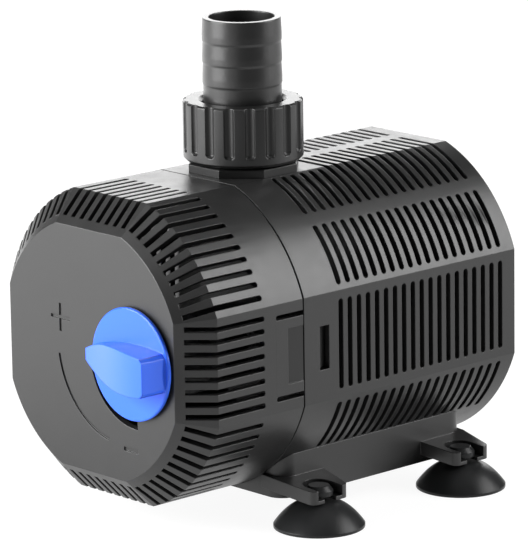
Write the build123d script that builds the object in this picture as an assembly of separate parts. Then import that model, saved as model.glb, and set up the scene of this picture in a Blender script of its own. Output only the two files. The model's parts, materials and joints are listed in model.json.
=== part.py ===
"""Submersible fountain pump with a union hose outlet, suction-cup base and flow knob."""
import os
from math import atan2, cos, degrees, pi, radians, sin

from build123d import *

os.makedirs("parts", exist_ok=True)

# ---------------------------------------------------------------- sizes, in mm
# Housing. Front is -Y, up is +Z; all Y sizes below are counted from the seam.
z_axis = 59.4            # height of the housing's centre line above the floor
y_seam = -24.0           # parting plane between front cover and rear shell
half_flat = 50.2         # centre line to each flat side
arc_r = 53.3             # radius of the four rounded corners
wall = 2.4               # wall thickness of cover and shell
front_len = 47.0         # seam to front face
rear_len = 97.0          # seam to rear face
rim_start = 37.3         # seam to the start of the bevelled front rim
rim_in = 9.9             # how far the rim draws in
seam_gap = 0.3           # each half stops this short of the seam
slot_w = 1.8             # width of the cover's strainer slots
ring_slot_w = 2.05       # width of the shell's strainer slots

# Strainer slots of the front cover
flat_slots, flat_pitch = 8, 4.08
arc_slots, arc_pitch = 10, 4.85            # pitch in degrees
cover_slot_start = 17.0                    # seam to slot end
# Strainer slots of the rear shell: rows as angles from straight up, in degrees
ring_count, ring_pitch, ring_first = 19, 4.085, 16.55
top_row, top_row_short = (2.9, 40.4), (20.4, 40.4)
other_rows = ((45.55, 68.4), (73.3, 106.7), (111.6, 134.0))
collar_rings = 6                           # rings that stop short of the collar

# Side latches
latch_len, latch_half, latch_gap = 12.0, 12.575, 1.65
root_gap, tongue_end = 0.02, 0.1           # hairline at the root; end short of the seam
pad_len, pad_half, pad_deep, pad_shallow = 6.85, 9.2, 1.0, 0.15
window_y, window_half = (7.1, 11.3), 7.3

# Flow knob, on the rotor's axis
rotor_x = 21.5
knob_r, knob_thick, knob_gap = 18.55, 1.2, 1.0
stem_r, stem_hole_r = 5.9, 6.3
crescent_r, crescent_arc = (17.3, 21.9), (176.0, 272.0)
stop_r, stop_arc = (17.6, 18.6), (181.0, 187.0)

# Pump chamber
spout_y = 20.9                             # seam to outlet axis
chamber = (13.3, 28.1)                     # front and rear of the chamber
chamber_wall = 1.9
nose_in, nose_out, nose_front = 10.2, 12.0, -24.0
shutter_in, shutter_out = 12.3, 13.8
port_half_angle = 35.0
plate_thick = 2.5                          # back plate of the chamber
duct_half, duct_top = 10.0, 32.5
socket_in, socket_out, socket_top = 13.9, 16.3, 46.5
impeller_r, magnet_r, shaft_r, rotor_bore = 17.0, 11.9, 1.5, 1.56

# Motor
motor_w, motor_h, motor_corner = 89.0, 62.0, 13.0
motor_y = (30.6, 84.0)
motor_wall, motor_front_wall = 2.0, 3.4
well_in, well_out, well_end = 12.3, 13.4, 77.0
core_y = (40.0, 64.0)
leg_z, leg_half = 18.5, 4.5
coil_x = (-29.5, 4.5)
coil_thick = 4.5

# Outlet
bore_r = 10.9                              # water way of connector and hose tail
plug_r = 13.6
collar_in_r, collar_h = 17.75, 3.0
thread_r, thread_root_r, thread_h, thread_pitch = 16.5, 15.4, 12.0, 2.309
nut_r, nut_h, nut_lift, nut_bore_r, nut_mouth_r = 19.85, 19.9, 0.5, 16.8, 13.5
nut_ledge = 15.9                           # lower edge to the underside of the flange
nut_flutes, flute_deep, flute_r = 18, 1.2, 1.9
tail_r, barb_r, tail_top = 12.9, 13.15, 160.2
barb_steps, barb_land = (7.4, 14.5, 21.6), 2.0   # steps below the top; straight part of each
flange_r, flange_h = 16.0, 2.4

# Base and suction cups
base_half, base_y, base_bottom = 38.3, (0.4, 84.7), 7.5
arm_tip, arm_front, arm_rear, arm_w = 54.8, -1.1, 64.1, 15.6
arm_bottom, arm_thick, arm_slope, arm_flare = 9.1, 4.5, 3.6, 5.0
pocket_w, pocket_deep, neck_slot = 10.7, 3.3, 5.0
cup_x, cup_r, neck_r, head_r, cup_h = 49.3, 15.0, 2.2, 4.7, 13.8

gland_x = -21.5                            # cable gland, beside the centre line


# ---------------------------------------------------------------- helpers
def xz(y, x=0.0, z=0.0):
    """Plane facing forward; y counts from the seam, z from the centre line."""
    return Plane(origin=(x, y_seam + y, z_axis + z), x_dir=(1, 0, 0), z_dir=(0, -1, 0))


def prism(face, y0, y1, x=0.0, z=0.0):
    """Extrude an XZ outline from y0 back to y1."""
    return extrude(xz(y1, x, z) * face, amount=y1 - y0)


def rod(r, y0, y1, x=0.0, z=0.0):
    """Cylinder along Y."""
    return prism(Circle(r), y0, y1, x, z)


def pipe(r_out, r_in, y0, y1, x=0.0, z=0.0):
    """Tube along Y."""
    return prism(Circle(r_out) - Circle(r_in), y0, y1, x, z)


def post(r, z0, z1, x=0.0, y=0.0):
    """Upright cylinder; z counts from the floor."""
    return Pos(x, y_seam + y, (z0 + z1) / 2) * Cylinder(r, z1 - z0)


def block(x0, x1, y0, y1, z0, z1):
    """Box; y counts from the seam, z from the centre line."""
    size = (x1 - x0, y1 - y0, z1 - z0)
    return Pos((x0 + x1) / 2, y_seam + (y0 + y1) / 2, z_axis + (z0 + z1) / 2) * Box(*size)


def sector(r_in, r_out, a0, a1):
    """Flat piece of a ring between two angles, counted from +X towards +Z."""
    mid, far = (a0 + a1) / 2, r_out * 1.6
    fan = [(0, 0)] + [(far * cos(radians(a)), far * sin(radians(a))) for a in (a0, mid, a1)]
    return (Circle(r_out) - Circle(r_in)) & make_face(Polyline(*fan, close=True))


def section(inset=0.0):
    """Cross-section of the housing: a circle cut by four flats."""
    half = half_flat - inset
    return Rectangle(2 * half, 2 * half) & Circle(arc_r - inset)


def spin_y(deg, shape):
    """Turn a shape about the housing's centre line."""
    return Pos(0, 0, z_axis) * Rot(0, deg, 0) * Pos(0, 0, -z_axis) * shape


def save(shape, name):
    """Write one node."""
    solids = shape.solids()
    shape = solids[0] if len(solids) == 1 else Compound(children=list(solids))
    shape.label = name
    export_step(shape, f"parts/{name}.step")


# ---------------------------------------------------------------- housing
def front_form(inset, y_face, y_rim, y_back):
    """Housing form with the bevelled rim, drawn in by inset all round."""
    depth = y_rim - y_face
    lean = degrees(atan2(rim_in, front_len - rim_start))
    half, r = half_flat - inset, arc_r - inset
    cone = extrude(xz(y_rim) * Circle(r), amount=depth, taper=lean)
    pyramid = extrude(xz(y_rim) * Rectangle(2 * half, 2 * half), amount=depth, taper=lean)
    return prism(section(inset), y_rim, y_back) + (cone & pyramid)


def cover_slot_cutters():
    """Slots that run forward over the rim: straight on the flats, radial on the arcs."""
    half = slot_w / 2
    y0, y1 = wall - front_len, -cover_slot_start - half
    cutters = []
    bar = block(-half, half, y0, y1, 36, 58) + post(half, z_axis + 36, z_axis + 58, 0, y1)
    for side in range(4):
        for k in range(flat_slots):
            shift = (k - (flat_slots - 1) / 2) * flat_pitch
            cutters.append(spin_y(90 * side, Pos(shift, 0, 0) * bar))
        for k in range(arc_slots):
            cutters.append(spin_y(90 * side + 45 + (k - (arc_slots - 1) / 2) * arc_pitch, bar))
    return cutters


def front_marks():
    """Plus, minus and the scale arc, sunk into the front face."""
    deep = 0.5
    y0, y1 = -front_len - 1, -front_len + deep
    plus = Rectangle(9.3, 1.1) + Rectangle(1.1, 9.3)
    return [
        prism(plus, y0, y1, -14.9, 9.0),
        prism(Rectangle(7.0, 1.3), y0, y1, 18.8, -29.3),
        prism(sector(29.1, 30.1, 189, 260), y0, y1, 13.5, 1.5),
    ]


def front_cover():
    outer = front_form(0, -front_len, -rim_start, -seam_gap)
    inner = front_form(wall, wall - front_len, 1.0 - rim_start, 1.0)
    cover = outer - inner
    cuts = cover_slot_cutters() + front_marks()
    for side in (1, -1):
        x0, x1 = sorted((side * 44, side * 54))
        z1, r = latch_half + root_gap, latch_gap / 2
        cuts.append(block(x0, x1, -latch_len - root_gap, 1, -z1, z1))
        for z in (-z1 - r, z1 + r):
            cuts.append(block(x0, x1, r - latch_len, 1, z - r, z + r))
            cuts.append(Pos(side * 49, y_seam + r - latch_len, z_axis + z) * Rot(0, 90, 0)
                        * Cylinder(r, 10))
    y0, y1 = -front_len - 1, wall - front_len + 1
    cuts.append(rod(stem_hole_r, y0, y1, rotor_x))
    cuts.append(prism(sector(*crescent_r, *crescent_arc), y0, y1, rotor_x))
    return cover - cuts


def latch_tongue(side):
    """Springy tongue of the cover; its hook sits in the shell's window."""
    x_in, x_out = half_flat - wall, half_flat
    tongue = block(x_in, x_out, -latch_len, -tongue_end, -latch_half, latch_half)
    pad = Polyline((x_out - pad_deep, -pad_len), (x_out - pad_shallow, 0), (x_out + 1, 0),
                   (x_out + 1, -pad_len), close=True)
    tongue -= extrude(Pos(0, y_seam, z_axis - pad_half) * make_face(pad), amount=2 * pad_half,
                      dir=(0, 0, 1))
    arm = block(x_in - 2.6, x_in, -10, -1.0, -8, 8)
    arm += block(x_in - 2.6, x_in - 0.5, -1.0, 11.0, -8, 8)
    tooth = Polyline((x_in - 0.5, 7.5), (x_out - 1.5, 7.5), (x_out - 1.5, 8.6),
                     (x_in + 0.2, 10.9), (x_in - 0.5, 10.9), close=True)
    tooth = extrude(Pos(0, y_seam, z_axis - 6.9) * make_face(tooth), amount=13.8, dir=(0, 0, 1))
    tongue = tongue + arm + tooth
    return tongue if side > 0 else mirror(tongue, about=Plane.YZ)


def ring_cutter(row):
    """One curved slot, with rounded ends, at the first ring's place."""
    a0, a1 = row
    end = degrees(ring_slot_w / 2 / arc_r)
    y0, y1 = ring_first - ring_slot_w / 2, ring_first + ring_slot_w / 2
    parts = [prism(sector(46, 58, 90 - a1 + end, 90 - a0 - end), y0, y1)]
    for a in (a0 + end, a1 - end):
        pin = Pos(0, y_seam + ring_first, z_axis + 52) * Cylinder(ring_slot_w / 2, 12)
        parts.append(spin_y(a, pin))
    return parts


def shell_slot_cutters():
    """Nineteen rings of slots along the shell, mirrored left to right."""
    cutters = []
    for k in range(ring_count):
        rows = (top_row_short if k < collar_rings else top_row,) + other_rows
        for row in rows:
            for piece in ring_cutter(row):
                piece = Pos(0, k * ring_pitch, 0) * piece
                cutters += [piece, mirror(piece, about=Plane.YZ)]
    return cutters


def rear_shell():
    outer = prism(section(), seam_gap, rear_len)
    shell = outer - prism(section(wall), -1, rear_len - wall)
    lip = prism(section(wall + 0.3) - section(wall + 1.9), -4, 3)
    lip += prism(section(wall) - section(wall + 1.9), seam_gap, 3)
    for side in (1, -1):
        x0, x1 = sorted((side * 40, side * 49))
        lip -= block(x0, x1, -5, 5, -14.6, 14.6)
    shell += lip
    inner = prism(section(1.0), 10, rear_len)
    for y in (40, 78):
        shell += block(-30, 30, y - 1, y + 1, -49, -motor_h / 2) & inner
    shell += block(-14, 14, 66, 68, motor_h / 2, 49) & inner
    for x, y in screw_places():
        shell += post(3.6, z_axis - half_flat + 1, z_axis - half_flat + 8, x, y)
    cuts = shell_slot_cutters()
    for side in (1, -1):
        x0, x1 = sorted((side * 44, side * 54))
        cuts.append(block(x0, x1, *window_y, -window_half, window_half))
    cuts.append(post(plug_r + 0.4, z_axis + 40, z_axis + 60, 0, spout_y))
    cuts.append(rod(7.2, rear_len - 6, rear_len + 1, gland_x))
    for x, y in screw_places():
        cuts.append(post(1.45, z_axis - half_flat - 1, z_axis - half_flat + 7, x, y))
    return shell - cuts


# ---------------------------------------------------------------- flow control
def flow_knob():
    """Disc with an arched grip that points along -X, a stem and a stop lug."""
    y_back = -front_len - knob_gap
    y_disc = y_back - knob_thick
    disc = rod(knob_r, y_disc, y_back, rotor_x)
    disc = fillet(disc.edges().group_by(Axis.Y)[0], 0.5)
    stations = ((0.6, 1.9, 2.85), (11.2, 5.65, 6.2), (25.7, 7.15, 10.7), (38.5, 6.25, 12.0))
    upper = Spline(*[(x, w) for x, w, _ in stations])
    lower = Spline(*[(x, -w) for x, w, _ in reversed(stations)])
    plan = make_face(upper + lower + Line(upper @ 1, lower @ 0) + Line(lower @ 1, upper @ 0))
    plan = prism(plan, -front_len - 14, y_back)
    crest = Spline(*[(x, -front_len - h) for x, _, h in stations])
    side = crest + Polyline(crest @ 1, (38.5, y_back), (0.6, y_back), crest @ 0)
    side = extrude(Pos(0, y_seam, z_axis - 10) * make_face(side), amount=20, dir=(0, 0, 1))
    grip = plan & side
    for z in (-6.25, 6.25):
        grip -= Pos(38.5, y_seam - front_len - 8, z_axis + z) * Rot(0, 45, 0) * Box(1.7, 30, 1.7)
    stem = rod(stem_r, y_disc, -26.0, rotor_x)
    stem -= pipe(8, 5.0, -44.3, -43.2, rotor_x)
    stem -= post(1.05, z_axis - 9, z_axis + 9, rotor_x, -30)
    lug = prism(sector(*stop_r, *stop_arc), y_disc + 0.5, -43.9, rotor_x)
    return disc + grip + stem + lug


def knob_clip():
    """Snap ring behind the cover's wall, open on one side."""
    ring = pipe(8.5, 5.05, -44.25, -43.25, rotor_x)
    return ring - block(rotor_x - 3, rotor_x + 3, -45, -43, -10, 0)


def port_cutters(y0, y1):
    """Two opposed windows about the rotor's axis."""
    faces = [sector(8, 16, -port_half_angle, port_half_angle),
             sector(8, 16, 180 - port_half_angle, 180 + port_half_angle)]
    return [prism(face, y0, y1, rotor_x) for face in faces]


def flow_shutter():
    """Sleeve on the knob's stem that closes the windows of the inlet nose."""
    sleeve = pipe(shutter_out, shutter_in, -26, -5, rotor_x)
    cap = rod(shutter_out, -26, -24.3, rotor_x)
    hub = pipe(8.5, stem_r + 0.05, -34, -26, rotor_x)
    hub -= post(1.05, z_axis - 10, z_axis + 10, rotor_x, -30)
    return sleeve + cap + hub - port_cutters(-20, -7)


def shutter_pin():
    return post(1.0, z_axis - 8, z_axis + 8, rotor_x, -30)


# ---------------------------------------------------------------- pump chamber
def volute_outline(extra):
    """Spiral that opens into the outlet duct, widened by extra all round."""
    points = []
    for k in range(30):
        a = 110 - 10 * k
        r = 18.5 + 13.0 * (110 - a) / 290 + extra
        points.append((rotor_x + r * cos(radians(a)), r * sin(radians(a))))
    spiral = Spline(*points)
    left, right = -duct_half - extra, duct_half - extra * 0.2
    duct = Polyline(points[-1], (left, duct_top), (right + 2 * extra, duct_top),
                    (right + 2 * extra, 20 + extra), points[0])
    return make_face(spiral + duct)


def volute_screw_places():
    return ((29.5, 25.0), (36.8, -27.5), (-4.3, -23.8), (-15.8, 22.0))


def volute_ears(y0, y1):
    """Screw ears with a rib back to the spiral."""
    ears = None
    for x, z in volute_screw_places():
        x0, x1 = sorted((x, rotor_x * 0.6))
        ear = rod(3.6, y0, y1, x, z) + block(x0, x1, y0, y1, z - 1.5, z + 1.5)
        ears = ear if ears is None else ears + ear
    return ears


def volute_casing():
    y0, y1 = chamber
    front = y0 - 1.8
    body = prism(volute_outline(chamber_wall), front, y1)
    body += volute_ears(y1 - 4, y1)
    mid = z_axis + duct_top
    body += post(socket_out, mid, z_axis + socket_top, 0, spout_y)
    body += rod(nose_out, nose_front, y0 - 1, rotor_x)
    body -= post(socket_in, mid + 1.8, z_axis + socket_top + 1, 0, spout_y)
    body -= prism(volute_outline(0), y0, y1 + 1)
    body -= block(-duct_half, duct_half, y0, y1, duct_top - 2, duct_top + 3)
    body -= rod(nose_in, nose_front + 2, y0 + 1, rotor_x)
    body -= port_cutters(-20, -7)
    spider = rod(4.2, 5, y0 - 1.8, rotor_x)
    for k in range(3):
        a = 120 * k + 90
        x, z = rotor_x + 7 * cos(radians(a)), 7 * sin(radians(a))
        spoke = Pos(x, y_seam + 8.25, z_axis + z) * Rot(0, -a, 0) * Box(8, 6.5, 1.6)
        spider += spoke
    body += spider
    body -= rod(2.6, 4, y0 - 3.3, rotor_x)
    body -= rod(shaft_r + 0.3, 4, y0 + 1, rotor_x)
    for x, z in volute_screw_places():
        body -= rod(1.5, y1 - 5, y1 + 1, x, z)
    return body


def volute_backplate():
    y0 = chamber[1]
    plate = prism(volute_outline(chamber_wall), y0, y0 + plate_thick)
    plate += volute_ears(y0, y0 + plate_thick)
    plate -= rod(well_in + 0.2, y0 - 1, y0 + 4, rotor_x)
    plate -= pipe(15.6, 13.6, y0 + plate_thick - 1.5, y0 + 4, rotor_x)
    for x, z in volute_screw_places():
        plate -= rod(1.5, y0 - 1, y0 + 4, x, z)
    return plate


def volute_o_ring():
    """Ring seal between the back plate and the flange of the rotor well."""
    y = chamber[1] + plate_thick - 0.75
    return Pos(rotor_x, y_seam + y, z_axis) * Rot(90, 0, 0) * Torus(14.6, 0.74)


def volute_screws():
    y1 = chamber[1]
    screws = None
    for x, z in volute_screw_places():
        one = rod(2.8, y1 - 6, y1 - 4, x, z) + rod(1.3, y1 - 4, y1 + 5.2, x, z)
        one -= prism(Rectangle(3.6, 0.8) + Rectangle(0.8, 3.6), y1 - 6.1, y1 - 5.0, x, z)
        screws = one if screws is None else screws + one
    return screws


def impeller():
    y0, y1 = chamber[0] + 1.2, chamber[1] - 1.0
    wheel = rod(impeller_r, y1 - 1.8, y1, rotor_x) + rod(4.6, y0, y1 + 4.1, rotor_x)
    for k in range(6):
        a = 60 * k
        arc = ThreePointArc((3.8, 0), (10.5, 2.6), (16.6, 0.4))
        blade = make_face(offset(arc, amount=0.7, side=Side.BOTH))
        wheel += prism(Rot(0, 0, a) * blade, y0 + 0.4, y1 - 1.0, rotor_x)
    wheel = wheel & rod(impeller_r, y0 - 1, y1 + 5, rotor_x)
    return wheel - rod(rotor_bore, y0 - 1, y1 + 6, rotor_x)


def rotor_magnet():
    magnet = pipe(magnet_r, rotor_bore, chamber[1] + 3.1, 69.5, rotor_x)
    edges = magnet.edges().filter_by(GeomType.CIRCLE).filter_by(lambda e: e.radius > 5)
    return chamfer(edges, 0.6)


def thrust_washer():
    return pipe(4.0, rotor_bore, 69.5, 70.3, rotor_x)


def ceramic_shaft():
    return rod(shaft_r, chamber[0] - 7.0, 74.6, rotor_x)


def front_shaft_bush():
    return pipe(2.58, shaft_r, chamber[0] - 7.0, chamber[0] - 3.4, rotor_x)


def rear_shaft_bush():
    return pipe(4.0, shaft_r, 71.0, 74.9, rotor_x)


# ---------------------------------------------------------------- motor
def rotor_well():
    """Closed can that keeps the water on the rotor's side."""
    y0 = motor_y[0]
    can = pipe(well_out, well_in, y0, well_end, rotor_x)
    can += pipe(17.0, well_in, y0, y0 + 1.2, rotor_x)
    can += rod(well_out, well_end - 2, well_end, rotor_x)
    return can + pipe(5.6, 4.05, 70.9, well_end - 1.5, rotor_x)


def motor_housing():
    y0, y1 = motor_y
    outer = RectangleRounded(motor_w, motor_h, motor_corner)
    inner = RectangleRounded(motor_w - 2 * motor_wall, motor_h - 2 * motor_wall,
                             motor_corner - motor_wall)
    case = prism(outer, y0, y1) - prism(inner, y0 + motor_front_wall, y1 + 1)
    case -= rod(well_out + 0.1, y0 - 1, y0 + 10, rotor_x)
    case -= rod(17.2, y0 - 1, y0 + 1.2, rotor_x)
    for x, z in volute_screw_places():
        case -= rod(1.35, y0 - 1, y0 + motor_front_wall - 0.6, x, z)
    return case


def stator_core():
    """U-shaped lamination stack; its poles hug the rotor well."""
    y0, y1 = core_y
    height = 2 * (leg_z + leg_half)
    face = Pos(-1.6, 0) * Rectangle(77.2, height)
    face -= Pos(-12.5, 0) * Rectangle(41, 2 * (leg_z - leg_half))
    face -= Pos(rotor_x, 0) * Circle(well_out + 0.3)
    face -= Pos(rotor_x, 0) * Rectangle(60, 10)
    core = prism(face, y0, y1)
    return core + block(-40.2, -33, y0, y1, -5.5, 5.5)


def bobbin(side):
    """Coil former with a flange at each end."""
    y0, y1 = core_y
    gap, skin = 0.15, 1.0
    z = side * leg_z
    x0, x1 = coil_x[0] - 1.2, coil_x[1] + 1.2
    hz, hy = leg_half + gap, gap
    former = block(x0, x1, y0 - hy - skin, y1 + hy + skin, z - hz - skin, z + hz + skin)
    grow = coil_thick + 0.2
    for x in (x0, x1 - 1.2):
        former += block(x, x + 1.2, y0 - hy - skin - grow, y1 + hy + skin + grow,
                        z - hz - skin - 3.4, z + hz + skin + grow - 0.4)
    return former - block(x0 - 1, x1 + 1, y0 - hy, y1 + hy, z - hz, z + hz)


def coil(side):
    """Winding on its former, with rounded corners."""
    y0, y1 = core_y
    z = side * leg_z
    inner_z, inner_y = 2 * (leg_half + 1.15), (y1 - y0) + 2.3
    plane = Plane(origin=(coil_x[0], y_seam + (y0 + y1) / 2, z_axis + z),
                  x_dir=(0, 1, 0), z_dir=(1, 0, 0))
    outer = RectangleRounded(inner_y + 2 * coil_thick, inner_z + 2 * coil_thick, 4.0)
    face = outer - Rectangle(inner_y, inner_z)
    return extrude(plane * face, amount=coil_x[1] - coil_x[0])


def thermal_fuse():
    """Cut-out lying on the upper winding."""
    z = leg_z - leg_half - 1.15 - coil_thick - 2.0
    plane = Plane(origin=(-20, y_seam + 52, z_axis + z), x_dir=(0, 1, 0), z_dir=(1, 0, 0))
    return extrude(plane * Circle(2.0), amount=12)


def potting_resin():
    """Resin layer that closes the back of the motor."""
    face = RectangleRounded(motor_w - 2 * motor_wall, motor_h - 2 * motor_wall,
                            motor_corner - motor_wall)
    block_ = prism(face, 78.0, motor_y[1] - 0.5)
    return block_ - rod(3.6, 77, 85, gland_x)


def cable_gland():
    """Bulkhead fitting in the rear wall."""
    body = rod(7.0, 89.0, rear_len, gland_x)
    hexagon = RegularPolygon(10.0, 6)
    body += prism(hexagon, rear_len, rear_len + 3.0, gland_x)
    body += rod(7.0, rear_len + 3.0, rear_len + 7.5, gland_x)
    return body - rod(5.2, 88, 106, gland_x)


def gland_locknut():
    nut = prism(RegularPolygon(10.5, 6), rear_len - wall - 3.0, rear_len - wall, gland_x)
    return nut - rod(7.05, 80, 100, gland_x)


def gland_cap():
    """Domed cap that squeezes the grommet."""
    y1 = rear_len + 10.0
    cap = rod(8.8, rear_len + 3.2, y1, gland_x)
    cap = chamfer(cap.edges().group_by(Axis.Y)[-1], 1.6)
    cap -= rod(7.05, rear_len, rear_len + 7.8, gland_x)
    cap -= rod(4.2, rear_len, y1 + 1, gland_x)
    for k in range(12):
        a = radians(30 * k)
        cap -= rod(0.7, rear_len + 3, rear_len + 8, gland_x + 9.1 * cos(a), 9.1 * sin(a))
    return cap


def cable_grommet():
    return pipe(5.15, 3.6, rear_len - 3, rear_len + 7.6, gland_x)


# ---------------------------------------------------------------- outlet
def octagon(in_r):
    return Rot(0, 0, 22.5) * RegularPolygon(in_r / cos(pi / 8), 8)


def outlet_connector():
    """Plug for the chamber's socket, eight-sided collar and threaded mouth."""
    top = z_axis + half_flat
    low = z_axis + duct_top + 2.0
    plane = Plane(origin=(0, y_seam + spout_y, top))
    body = post(plug_r, low, top + 1, 0, spout_y)
    collar = extrude(plane * octagon(collar_in_r), amount=collar_h)
    body += chamfer(collar.edges().group_by(Axis.Z)[-1], 0.4)
    t0 = top + collar_h
    body += post(thread_root_r, t0, t0 + thread_h, 0, spout_y)
    groove_z = low + 4.0
    ring = post(plug_r + 1, groove_z, groove_z + 2.4, 0, spout_y)
    ring -= post(plug_r - 1.5, groove_z - 1, groove_z + 4, 0, spout_y)
    body -= ring
    body += thread_ridge(t0 + 1.6, thread_h - 3.4)
    return body - post(bore_r, low - 1, t0 + thread_h + 1, 0, spout_y)


def thread_ridge(z0, height):
    """Helical ridge of the outlet thread."""
    helix = Helix(pitch=thread_pitch, height=height, radius=thread_root_r)
    deep, root, crest = thread_r - thread_root_r, 1.0, 0.3
    start = Plane(origin=helix @ 0, x_dir=(1, 0, 0), z_dir=helix % 0)
    profile = start * make_face(Polyline((-0.25, -root), (deep, -crest), (deep, crest),
                                         (-0.25, root), close=True))
    return Pos(0, y_seam + spout_y, z0) * sweep(profile, path=helix, is_frenet=True)


def connector_o_ring():
    low = z_axis + duct_top + 2.0
    return Pos(0, y_seam + spout_y, low + 5.2) * Torus(plug_r - 0.65, 0.84)


def nut_base():
    """Height of the nut's lower edge above the floor."""
    return z_axis + half_flat + collar_h + nut_lift


def outlet_seal():
    z0 = z_axis + half_flat + collar_h + thread_h
    return post(flange_r, z0, z0 + 1.8, 0, spout_y) - post(bore_r + 0.5, z0 - 1, z0 + 3, 0, spout_y)


def union_nut():
    """Fluted nut with a flange that holds the hose tail down."""
    z0 = nut_base()
    z1 = z0 + nut_h
    nut = post(nut_r, z0, z1, 0, spout_y)
    nut = chamfer(nut.edges().group_by(Axis.Z)[0], 1.0)
    nut = chamfer(nut.edges().group_by(Axis.Z)[-1], 0.6)
    nut -= post(nut_bore_r, z0 - 1, z0 + nut_ledge, 0, spout_y)
    nut -= post(nut_mouth_r, z0, z1 + 1, 0, spout_y)
    nut -= Pos(0, y_seam + spout_y, z1 - 0.6) * Cone(nut_mouth_r, nut_mouth_r + 1.2, 1.2)
    r, end = nut_r - flute_deep + flute_r, z0 + 3.9
    for k in range(nut_flutes):
        a = 2 * pi * (k + 0.2) / nut_flutes
        x, y = r * cos(a), spout_y + r * sin(a)
        tip = Pos(x, y_seam + y, end - 0.4) * Cone(flute_r - 0.7, flute_r, 0.8)
        nut -= post(flute_r, end, z1 + 1, x, y) + tip
    return nut


def hose_tail():
    """Stepped tube for the hose, with a flange held by the nut."""
    z0 = z_axis + half_flat + collar_h + thread_h + 1.85
    body = post(flange_r, z0, z0 + flange_h, 0, spout_y)
    body += post(tail_r, z0, tail_top, 0, spout_y)
    previous = 0.0
    for step in barb_steps:
        low, high = tail_top - step, tail_top - previous
        slope = high - low - barb_land
        body += post(barb_r, low, low + barb_land, 0, spout_y)
        body += Pos(0, y_seam + spout_y, high - slope / 2) * Cone(barb_r, tail_r, slope)
        body += Pos(0, y_seam + spout_y, low - 0.4) * Cone(tail_r, barb_r, 0.8)
        previous = step
    return body - post(bore_r, z0 - 1, tail_top + 1, 0, spout_y)


# ---------------------------------------------------------------- base and cups
def screw_places():
    return ((-12, 24), (12, 24), (-12, 60), (12, 60))


def arm(y_tip):
    """One lug for a suction cup, on the +X side."""
    tan = sin(radians(arm_slope)) / cos(radians(arm_slope))
    run = arm_tip - 30.0
    low = arm_bottom - z_axis
    side = Polyline((30, low + run * tan), (arm_tip, low), (arm_tip, low + arm_thick),
                    (30, low + arm_thick + run * tan), close=True)
    body = prism(make_face(side), y_tip - 1, y_tip + arm_w + arm_flare + 1)
    plan = Polyline((30, y_tip), (arm_tip, y_tip), (arm_tip, y_tip + arm_w),
                    (base_half - 0.5, y_tip + arm_w + arm_flare), (30, y_tip + arm_w + arm_flare),
                    close=True)
    plan = make_face(plan)
    plan = fillet(plan.vertices().group_by(Axis.X)[-1], 2.4)
    body = body & extrude(Pos(0, y_seam, 0) * plan, amount=40, dir=(0, 0, 1))
    y = y_tip + arm_w / 2
    floor = low + arm_thick - pocket_deep
    body -= block(cup_x, 60, y - pocket_w / 2, y + pocket_w / 2, floor, 0)
    body -= post(pocket_w / 2, z_axis + floor, z_axis, cup_x, y)
    body -= block(cup_x, 60, y - neck_slot / 2, y + neck_slot / 2, low - 2, 0)
    body -= post(neck_slot / 2, z_axis + low - 2, z_axis, cup_x, y)
    return body


def base_frame():
    """Tray under the shell with four lugs."""
    y0, y1 = base_y
    plan = RectangleRounded(2 * base_half, y1 - y0, 6.0)
    tray = extrude(Pos(0, y_seam + (y0 + y1) / 2, base_bottom) * plan, amount=16)
    low = base_bottom - z_axis
    for x0, x1 in ((28.5, base_half - 2.2), (-base_half + 2.2, -28.5)):
        for k in range(3):
            tray -= block(x0, x1, 4 + 26 * k, 27 + 26 * k, low - 1, low + 5)
    tray -= block(-9, 9, 8, 76, low - 1, low + 20)
    for y in (arm_front, arm_rear):
        lug = arm(y)
        tray = tray + lug + mirror(lug, about=Plane.YZ)
    tray -= prism(section(), y0 - 5, y1 + 5)
    for x, y in screw_places():
        tray -= post(1.6, base_bottom - 1, base_bottom + 6, x, y)
    return tray


def base_screws():
    screws = None
    z = base_bottom
    for x, y in screw_places():
        one = post(3.0, z - 1.7, z, x, y) + post(1.35, z, z + 8.0, x, y)
        one -= Pos(x, y_seam + y, z - 1.4) * Box(3.6, 0.8, 1.0)
        one -= Pos(x, y_seam + y, z - 1.4) * Box(0.8, 3.6, 1.0)
        screws = one if screws is None else screws + one
    return screws


def suction_cup(x, y):
    """Rubber cup: hollow skirt, neck and button head."""
    dome = Spline((cup_r, 0.9), (13.2, 3.2), (10.2, 6.1), (7.1, 8.0), (4.8, 8.75))
    outer = dome + Polyline(dome @ 1, (neck_r, 8.8), (neck_r, 10.5), (head_r, 10.5),
                            (head_r, 12.2), (3.4, cup_h), (0, cup_h), (0, 6.4),
                            (5.5, 5.6), (10.5, 2.8), (cup_r - 0.7, 0), (cup_r, 0), dome @ 0)
    profile = Plane.XZ * make_face(outer)
    return Pos(x, y_seam + y, 0) * revolve(profile, axis=Axis.Z)


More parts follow.
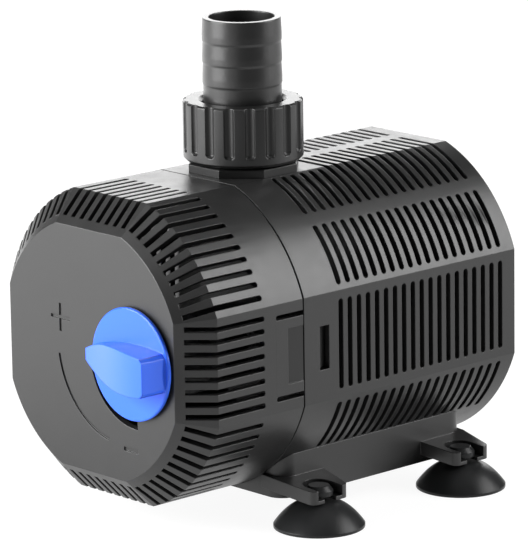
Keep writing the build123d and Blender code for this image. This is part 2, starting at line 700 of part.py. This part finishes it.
# ---------------------------------------------------------------- write the nodes
nodes = {
    "front_cover": front_cover,
    "latch_tongue_right": lambda: latch_tongue(1),
    "latch_tongue_left": lambda: latch_tongue(-1),
    "flow_knob": flow_knob,
    "knob_clip": knob_clip,
    "flow_shutter": flow_shutter,
    "shutter_pin": shutter_pin,
    "volute_casing": volute_casing,
    "volute_backplate": volute_backplate,
    "volute_o_ring": volute_o_ring,
    "volute_screws": volute_screws,
    "impeller": impeller,
    "rotor_magnet": rotor_magnet,
    "thrust_washer": thrust_washer,
    "ceramic_shaft": ceramic_shaft,
    "front_shaft_bush": front_shaft_bush,
    "rear_shaft_bush": rear_shaft_bush,
    "rotor_well": rotor_well,
    "motor_housing": motor_housing,
    "stator_core": stator_core,
    "bobbin_upper": lambda: bobbin(1),
    "bobbin_lower": lambda: bobbin(-1),
    "coil_upper": lambda: coil(1),
    "coil_lower": lambda: coil(-1),
    "thermal_fuse": thermal_fuse,
    "potting_resin": potting_resin,
    "cable_gland": cable_gland,
    "gland_locknut": gland_locknut,
    "gland_cap": gland_cap,
    "cable_grommet": cable_grommet,
    "outlet_connector": outlet_connector,
    "connector_o_ring": connector_o_ring,
    "outlet_seal": outlet_seal,
    "union_nut": union_nut,
    "hose_tail": hose_tail,
    "rear_shell": rear_shell,
    "base_frame": base_frame,
    "base_screws": base_screws,
}
cup_places = {
    "front_right": (cup_x, arm_front), "front_left": (-cup_x, arm_front),
    "rear_right": (cup_x, arm_rear), "rear_left": (-cup_x, arm_rear),
}
for name, make in nodes.items():
    save(make(), name)
for place, (x, y) in cup_places.items():
    save(suction_cup(x, y + arm_w / 2), f"suction_cup_{place}")
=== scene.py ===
import json
import math
import bpy
from mathutils import Matrix, Vector

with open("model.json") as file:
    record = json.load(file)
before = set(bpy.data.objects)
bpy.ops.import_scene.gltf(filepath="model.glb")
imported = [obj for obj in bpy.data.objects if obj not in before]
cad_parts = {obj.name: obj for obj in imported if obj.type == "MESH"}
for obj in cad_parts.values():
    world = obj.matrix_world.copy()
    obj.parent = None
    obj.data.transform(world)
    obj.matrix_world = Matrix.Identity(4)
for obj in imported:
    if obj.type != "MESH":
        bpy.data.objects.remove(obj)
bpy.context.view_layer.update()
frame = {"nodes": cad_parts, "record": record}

scene = bpy.context.scene
nodes = frame["nodes"]


# ---------------------------------------------------------------- node helpers
def new_material(name):
    mat = bpy.data.materials.new(name)
    mat.use_nodes = True
    mat.node_tree.nodes.clear()
    return mat, mat.node_tree


def add(tree, kind, **values):
    node = tree.nodes.new(kind)
    for key, value in values.items():
        setattr(node, key, value)
    return node


def put(node, **values):
    for key, value in values.items():
        node.inputs[key.replace("_", " ")].default_value = value
    return node


def link(tree, a, out, b, into):
    tree.links.new(a.outputs[out], b.inputs[into])


def noise(tree, coords, scale, detail=3.0, rough=0.5):
    node = add(tree, "ShaderNodeTexNoise")
    put(node, Scale=scale, Detail=detail, Roughness=rough)
    link(tree, coords, "Object", node, "Vector")
    return node


def ramp(tree, source, out, stops):
    node = add(tree, "ShaderNodeValToRGB")
    elements = node.color_ramp.elements
    while len(elements) > 1:
        elements.remove(elements[-1])
    elements[0].position, elements[0].color = stops[0][0], (*stops[0][1], 1)
    for place, colour in stops[1:]:
        elements.new(place).color = (*colour, 1)
    link(tree, source, out, node, "Fac")
    return node


def zone(tree, coords, x=None, y=None, z=None):
    """Mask of a box in the frame: each side is (low, high) in metres, x by its distance from 0."""
    split = add(tree, "ShaderNodeSeparateXYZ")
    link(tree, coords, "Object", split, "Vector")
    mask = None
    for name, sides in (("X", x), ("Y", y), ("Z", z)):
        if sides is None:
            continue
        source = split.outputs[name]
        if name == "X":
            size = add(tree, "ShaderNodeMath", operation="ABSOLUTE")
            tree.links.new(source, size.inputs[0])
            source = size.outputs[0]
        near = add(tree, "ShaderNodeMath", operation="COMPARE")
        near.inputs[1].default_value = (sides[0] + sides[1]) / 2
        near.inputs[2].default_value = (sides[1] - sides[0]) / 2
        tree.links.new(source, near.inputs[0])
        if mask is None:
            mask = near
        else:
            both = add(tree, "ShaderNodeMath", operation="MULTIPLY")
            tree.links.new(mask.outputs[0], both.inputs[0])
            tree.links.new(near.outputs[0], both.inputs[1])
            mask = both
    return mask


def blend_by(tree, mask, a, b, kind="RGBA"):
    """Mix node that gives socket a outside the mask and socket b inside it."""
    mix = add(tree, "ShaderNodeMix", data_type=kind)
    first, second, out = (6, 7, 2) if kind == "RGBA" else (4, 5, 1)
    tree.links.new(mask.outputs[0], mix.inputs[0])
    for place, value in ((first, a), (second, b)):
        if isinstance(value, tuple):
            mix.inputs[place].default_value = (*value, 1)
        else:
            tree.links.new(value, mix.inputs[place])
    return mix.outputs[out]


def moulded(name, dark, light, rough=(0.36, 0.46), grain=2600.0, grain_depth=0.00002,
            flow=28.0, edge=0.00035, specular=0.5, coat=0.0, coat_rough=0.15, speck=0.0,
            sharp=None, painted_shade=None):
    """Moulded plastic or rubber: faint flow marks, spark-eroded grain, softened edges.

    sharp is a zone whose edges stay sharp; the last argument is a zone and the darker colour
    painted there as shade.
    """
    mat, tree = new_material(name)
    coords = add(tree, "ShaderNodeTexCoord")
    cloud = noise(tree, coords, flow, 4.0, 0.55)
    fine = noise(tree, coords, grain, 2.0, 0.6)
    colour = ramp(tree, cloud, "Fac", ((0.3, dark), (0.7, light)))
    roughness = add(tree, "ShaderNodeMapRange")
    put(roughness, From_Min=0.3, From_Max=0.7, To_Min=rough[0], To_Max=rough[1])
    link(tree, noise(tree, coords, flow * 6, 3.0, 0.6), "Fac", roughness, "Value")
    bevel = add(tree, "ShaderNodeBevel", samples=6)
    put(bevel, Radius=edge)
    bump = add(tree, "ShaderNodeBump")
    put(bump, Strength=1.0, Distance=grain_depth)
    link(tree, fine, "Fac", bump, "Height")
    normal = bevel.outputs["Normal"]
    if sharp:
        plain = add(tree, "ShaderNodeNewGeometry").outputs["Normal"]
        normal = blend_by(tree, zone(tree, coords, **sharp), normal, plain, "VECTOR")
    tree.links.new(normal, bump.inputs["Normal"])
    shader = add(tree, "ShaderNodeBsdfPrincipled")
    put(shader, Specular_IOR_Level=specular, Coat_Weight=coat, Coat_Roughness=coat_rough)
    # painted shade: the zone gets a darker base colour that stands in for shade in a recess
    if painted_shade:
        body = colour.outputs["Color"]
        shaded_colour = blend_by(tree, zone(tree, coords, **painted_shade[0]), body, painted_shade[1])
        tree.links.new(shaded_colour, shader.inputs["Base Color"])
    elif speck:
        dust = ramp(tree, noise(tree, coords, 900.0, 2.0, 0.7), "Fac",
                    ((0.66, (0, 0, 0)), (0.74, (speck, speck, speck))))
        mix = add(tree, "ShaderNodeMix", data_type="RGBA", blend_type="ADD")
        mix.inputs[0].default_value = 1.0
        tree.links.new(colour.outputs["Color"], mix.inputs[6])
        tree.links.new(dust.outputs["Color"], mix.inputs[7])
        tree.links.new(mix.outputs[2], shader.inputs["Base Color"])
    else:
        link(tree, colour, "Color", shader, "Base Color")
    link(tree, roughness, "Result", shader, "Roughness")
    link(tree, bump, "Normal", shader, "Normal")
    out = add(tree, "ShaderNodeOutputMaterial")
    link(tree, shader, "BSDF", out, "Surface")
    return mat


def metal(name, dark, light, rough=(0.25, 0.4), axis="Z", stretch=40.0, scale=120.0, depth=0.00001):
    """Brushed or drawn metal with marks along one axis."""
    mat, tree = new_material(name)
    coords = add(tree, "ShaderNodeTexCoord")
    mapping = add(tree, "ShaderNodeMapping")
    squeeze = [1.0, 1.0, 1.0]
    squeeze["XYZ".index(axis)] = 1.0 / stretch
    mapping.inputs["Scale"].default_value = squeeze
    link(tree, coords, "Object", mapping, "Vector")
    lines = add(tree, "ShaderNodeTexNoise")
    put(lines, Scale=scale * 20, Detail=4.0, Roughness=0.6)
    link(tree, mapping, "Vector", lines, "Vector")
    colour = ramp(tree, lines, "Fac", ((0.3, dark), (0.7, light)))
    roughness = add(tree, "ShaderNodeMapRange")
    put(roughness, From_Min=0.3, From_Max=0.7, To_Min=rough[0], To_Max=rough[1])
    link(tree, noise(tree, coords, scale, 3.0, 0.6), "Fac", roughness, "Value")
    bump = add(tree, "ShaderNodeBump")
    put(bump, Strength=1.0, Distance=depth)
    link(tree, lines, "Fac", bump, "Height")
    shader = add(tree, "ShaderNodeBsdfPrincipled")
    put(shader, Metallic=1.0)
    link(tree, colour, "Color", shader, "Base Color")
    link(tree, roughness, "Result", shader, "Roughness")
    link(tree, bump, "Normal", shader, "Normal")
    out = add(tree, "ShaderNodeOutputMaterial")
    link(tree, shader, "BSDF", out, "Surface")
    return mat


def banded(name, dark, light, axis, pitch, metallic, rough, depth):
    """Parallel bands: stacked laminations or the turns of a winding."""
    mat, tree = new_material(name)
    coords = add(tree, "ShaderNodeTexCoord")
    wave = add(tree, "ShaderNodeTexWave", wave_type="BANDS", bands_direction=axis)
    put(wave, Scale=0.314159 / pitch, Distortion=0.4, Detail=1.0)
    link(tree, coords, "Object", wave, "Vector")
    colour = ramp(tree, wave, "Fac", ((0.1, dark), (0.6, light)))
    bump = add(tree, "ShaderNodeBump")
    put(bump, Strength=1.0, Distance=depth)
    link(tree, wave, "Fac", bump, "Height")
    roughness = add(tree, "ShaderNodeMapRange")
    put(roughness, From_Min=0.3, From_Max=0.7, To_Min=rough, To_Max=rough + 0.12)
    link(tree, noise(tree, coords, 90.0), "Fac", roughness, "Value")
    shader = add(tree, "ShaderNodeBsdfPrincipled")
    put(shader, Metallic=metallic)
    link(tree, colour, "Color", shader, "Base Color")
    link(tree, roughness, "Result", shader, "Roughness")
    link(tree, bump, "Normal", shader, "Normal")
    out = add(tree, "ShaderNodeOutputMaterial")
    link(tree, shader, "BSDF", out, "Surface")
    return mat


# ---------------------------------------------------------------- materials by slot
axis_height = 0.0594                       # the housing's centre line
latch_root = {"x": (0.049, 0.052), "y": (-0.0366, -0.0354),
              "z": (axis_height - 0.0124, axis_height + 0.0124)}
# finger-pad recess on the latch tongue, painted darker as shade
finger_pad = {"x": (0.0485, 0.05012), "y": (-0.0308, -0.0235)}
housing = {"dark": (0.013, 0.013, 0.013), "light": (0.016, 0.016, 0.016),
           "rough": (0.34, 0.39), "specular": 0.58, "sharp": latch_root}
looks = {
    "housing_black": moulded("housing_black", **housing),
    # latch tongues: the housing plastic with painted shade in the finger-pad recess
    "latch_black": moulded("latch_black", **housing, painted_shade=(finger_pad, (0.004, 0.004, 0.004))),
    "tail_black": moulded("tail_black", (0.012, 0.012, 0.012), (0.014, 0.014, 0.014),
                          rough=(0.30, 0.32), specular=0.6, edge=0.0007),
    "nut_black": moulded("nut_black", (0.009, 0.009, 0.009), (0.011, 0.011, 0.011),
                         rough=(0.32, 0.34), specular=0.58, edge=0.0005),
    "outlet_black": moulded("outlet_black", (0.006, 0.006, 0.006), (0.008, 0.008, 0.008),
                            rough=(0.30, 0.36), specular=0.35),
    "base_black": moulded("base_black", (0.015, 0.015, 0.015), (0.018, 0.018, 0.018),
                          rough=(0.32, 0.38), specular=0.55),
    "gland_black": moulded("gland_black", (0.024, 0.024, 0.024), (0.032, 0.032, 0.032)),
    "chamber_black": moulded("chamber_black", (0.010, 0.010, 0.010), (0.015, 0.015, 0.015),
                             rough=(0.45, 0.6), speck=0.004),
    "well_plastic": moulded("well_plastic", (0.03, 0.03, 0.03), (0.045, 0.045, 0.045)),
    "shutter_grey": moulded("shutter_grey", (0.03, 0.03, 0.032), (0.04, 0.04, 0.043)),
    "resin_black": moulded("resin_black", (0.008, 0.008, 0.009), (0.014, 0.014, 0.015),
                           rough=(0.12, 0.25), grain=300.0, grain_depth=0.00008),
    "impeller_white": moulded("impeller_white", (0.66, 0.66, 0.62), (0.74, 0.74, 0.70),
                              rough=(0.38, 0.5)),
    "bobbin_nylon": moulded("bobbin_nylon", (0.60, 0.57, 0.47), (0.68, 0.65, 0.55),
                            rough=(0.4, 0.5)),
    "ceramic_white": moulded("ceramic_white", (0.78, 0.78, 0.74), (0.84, 0.84, 0.80),
                             rough=(0.10, 0.18), grain_depth=0.000004),
    "ferrite": moulded("ferrite", (0.045, 0.042, 0.042), (0.065, 0.06, 0.058),
                       rough=(0.42, 0.6), grain=1500.0, grain_depth=0.00005, speck=0.02),
    "fuse_body": moulded("fuse_body", (0.66, 0.62, 0.52), (0.74, 0.70, 0.60), rough=(0.3, 0.4)),
    "knob_blue": moulded("knob_blue", (0.034, 0.140, 0.90), (0.038, 0.155, 0.95),
                         rough=(0.16, 0.20), flow=18.0, grain_depth=0.000004, edge=0.0006,
                         specular=0.35),
    "cup_rubber": moulded("cup_rubber", (0.012, 0.0125, 0.013), (0.018, 0.0185, 0.019),
                          rough=(0.30, 0.40), grain=1500.0, edge=0.0004, specular=0.22),
    "grommet_rubber": moulded("grommet_rubber", (0.018, 0.018, 0.018), (0.028, 0.028, 0.028),
                              rough=(0.5, 0.65)),
    "seal_rubber": moulded("seal_rubber", (0.014, 0.014, 0.014), (0.022, 0.022, 0.022),
                           rough=(0.4, 0.55)),
    "stainless": metal("stainless", (0.48, 0.48, 0.47), (0.66, 0.66, 0.65)),
    "lamination_steel": banded("lamination_steel", (0.10, 0.10, 0.11), (0.34, 0.34, 0.36),
                               "Y", 0.0005, 1.0, 0.35, 0.00006),
    "copper_wire": banded("copper_wire", (0.26, 0.08, 0.03), (0.70, 0.30, 0.15),
                          "X", 0.0007, 0.8, 0.28, 0.0002),
}
for part in frame["record"]["subparts"]:
    obj = nodes[part["node"]]
    look = "latch_black" if part["node"].startswith("latch_") else part["material_slot"]
    obj.data.materials.clear()
    obj.data.materials.append(looks[look])


# ---------------------------------------------------------------- camera
def aim_camera():
    """Long lens from the front right, a little above."""
    azimuth, elevation, roll = (math.radians(a) for a in (47.47, 13.40, -0.87))
    back = Vector((math.sin(azimuth) * math.cos(elevation),
                   -math.cos(azimuth) * math.cos(elevation), math.sin(elevation)))
    right = (-back).cross(Vector((0, 0, 1))).normalized()
    up = right.cross(-back)
    x = right * math.cos(roll) + up * math.sin(roll)
    y = -right * math.sin(roll) + up * math.cos(roll)
    data = bpy.data.cameras.new("camera")
    data.lens, data.sensor_width = 296.0, 36.0
    data.clip_end = 50.0
    cam = bpy.data.objects.new("camera", data)
    place = Vector((1.0712, -0.9774, 0.4187))
    cam.matrix_world = Matrix.Translation(place) @ Matrix((x, y, back)).transposed().to_4x4()
    scene.collection.objects.link(cam)
    scene.camera = cam


aim_camera()


# ---------------------------------------------------------------- floor and light
def floor(half=4.0):
    """Pale floor to the camera; to reflections it is darker ahead and brighter at the left."""
    mesh = bpy.data.meshes.new("floor")
    corners = [(-half, -half, 0), (half, -half, 0), (half, half, 0), (-half, half, 0)]
    mesh.from_pydata(corners, [], [(0, 1, 2, 3)])
    obj = bpy.data.objects.new("floor", mesh)
    obj.location.z = -0.0001
    scene.collection.objects.link(obj)
    mat, tree = new_material("floor")
    coords = add(tree, "ShaderNodeTexCoord")
    colour = ramp(tree, noise(tree, coords, 3.0), "Fac",
                  ((0.3, (0.12, 0.12, 0.12)), (0.7, (0.14, 0.14, 0.14))))
    shader = put(add(tree, "ShaderNodeBsdfPrincipled"), Roughness=0.9, Specular_IOR_Level=0.1,
                 Emission_Color=(1, 1, 1, 1))
    ahead = add(tree, "ShaderNodeVectorMath", operation="DOT_PRODUCT")
    ahead.inputs[1].default_value = (0.737, -0.676, 0.0)
    link(tree, coords, "Object", ahead, "Vector")
    fade = add(tree, "ShaderNodeMapRange", interpolation_type="SMOOTHSTEP")
    put(fade, From_Min=0.12, From_Max=0.5, To_Min=0.87, To_Max=0.2)
    link(tree, ahead, "Value", fade, "Value")
    aside = add(tree, "ShaderNodeVectorMath", operation="DOT_PRODUCT")
    aside.inputs[1].default_value = (-0.74, -0.67, 0.0)
    link(tree, coords, "Object", aside, "Vector")
    glow = add(tree, "ShaderNodeMapRange", interpolation_type="SMOOTHSTEP")
    put(glow, From_Min=0.06, From_Max=0.36, To_Min=0.0, To_Max=0.95)
    link(tree, aside, "Value", glow, "Value")
    total = add(tree, "ShaderNodeMath", operation="ADD")
    tree.links.new(fade.outputs["Result"], total.inputs[0])
    tree.links.new(glow.outputs["Result"], total.inputs[1])
    seen = add(tree, "ShaderNodeLightPath")
    strength = add(tree, "ShaderNodeMix", data_type="FLOAT")
    link(tree, seen, "Is Camera Ray", strength, "Factor")
    tree.links.new(total.outputs["Value"], strength.inputs[2])
    strength.inputs[3].default_value = 0.92
    tree.links.new(strength.outputs[0], shader.inputs["Emission Strength"])
    link(tree, colour, "Color", shader, "Base Color")
    link(tree, shader, "BSDF", add(tree, "ShaderNodeOutputMaterial"), "Surface")
    mesh.materials.append(mat)


def area_light(name, place, size, power, aim=(0, 0, 0.06)):
    """Rectangular softbox that faces the point aim."""
    data = bpy.data.lights.new(name, "AREA")
    data.shape, data.size, data.size_y = "RECTANGLE", size[0], size[1]
    data.energy = power
    obj = bpy.data.objects.new(name, data)
    obj.location = place
    obj.rotation_euler = (Vector(aim) - Vector(place)).to_track_quat("-Z", "Y").to_euler()
    scene.collection.objects.link(obj)


def sky(bright, level, towards=(-0.41, -0.91, 0.0)):
    """Faint surround that lights the object, brighter towards the key; plain pale to the camera."""
    world = bpy.data.worlds.new("studio")
    world.use_nodes = True
    scene.world = world
    tree = world.node_tree
    coords = add(tree, "ShaderNodeTexCoord")
    turn = add(tree, "ShaderNodeVectorMath", operation="DOT_PRODUCT")
    turn.inputs[1].default_value = towards
    tree.links.new(coords.outputs["Generated"], turn.inputs[0])
    shade = add(tree, "ShaderNodeMapRange", interpolation_type="SMOOTHSTEP")
    put(shade, From_Min=-0.2, From_Max=0.9, To_Min=level, To_Max=bright)
    tree.links.new(turn.outputs["Value"], shade.inputs["Value"])
    tree.links.new(shade.outputs["Result"], tree.nodes["Background"].inputs["Strength"])
    backdrop = put(add(tree, "ShaderNodeBackground"), Color=(0.88, 0.88, 0.88, 1), Strength=1.0)
    pick = add(tree, "ShaderNodeMixShader")
    link(tree, add(tree, "ShaderNodeLightPath"), "Is Camera Ray", pick, "Fac")
    tree.links.new(tree.nodes["Background"].outputs[0], pick.inputs[1])
    tree.links.new(backdrop.outputs[0], pick.inputs[2])
    tree.links.new(pick.outputs[0], tree.nodes["World Output"].inputs["Surface"])


scene.view_settings.view_transform = "Standard"
floor()
sky(1.2, 0.22)
area_light("key", (-0.60, -1.20, 0.55), (1.1, 1.0), 44)
area_light("back", (-1.15, 1.05, 0.52), (1.6, 0.7), 14, aim=(0, 0, 0.1))
area_light("right", (0.75, 0.78, 0.60), (0.8, 0.95), 15, aim=(0, 0, 0.1))
area_light("top", (0.0, 0.0, 1.5), (1.6, 1.6), 5)
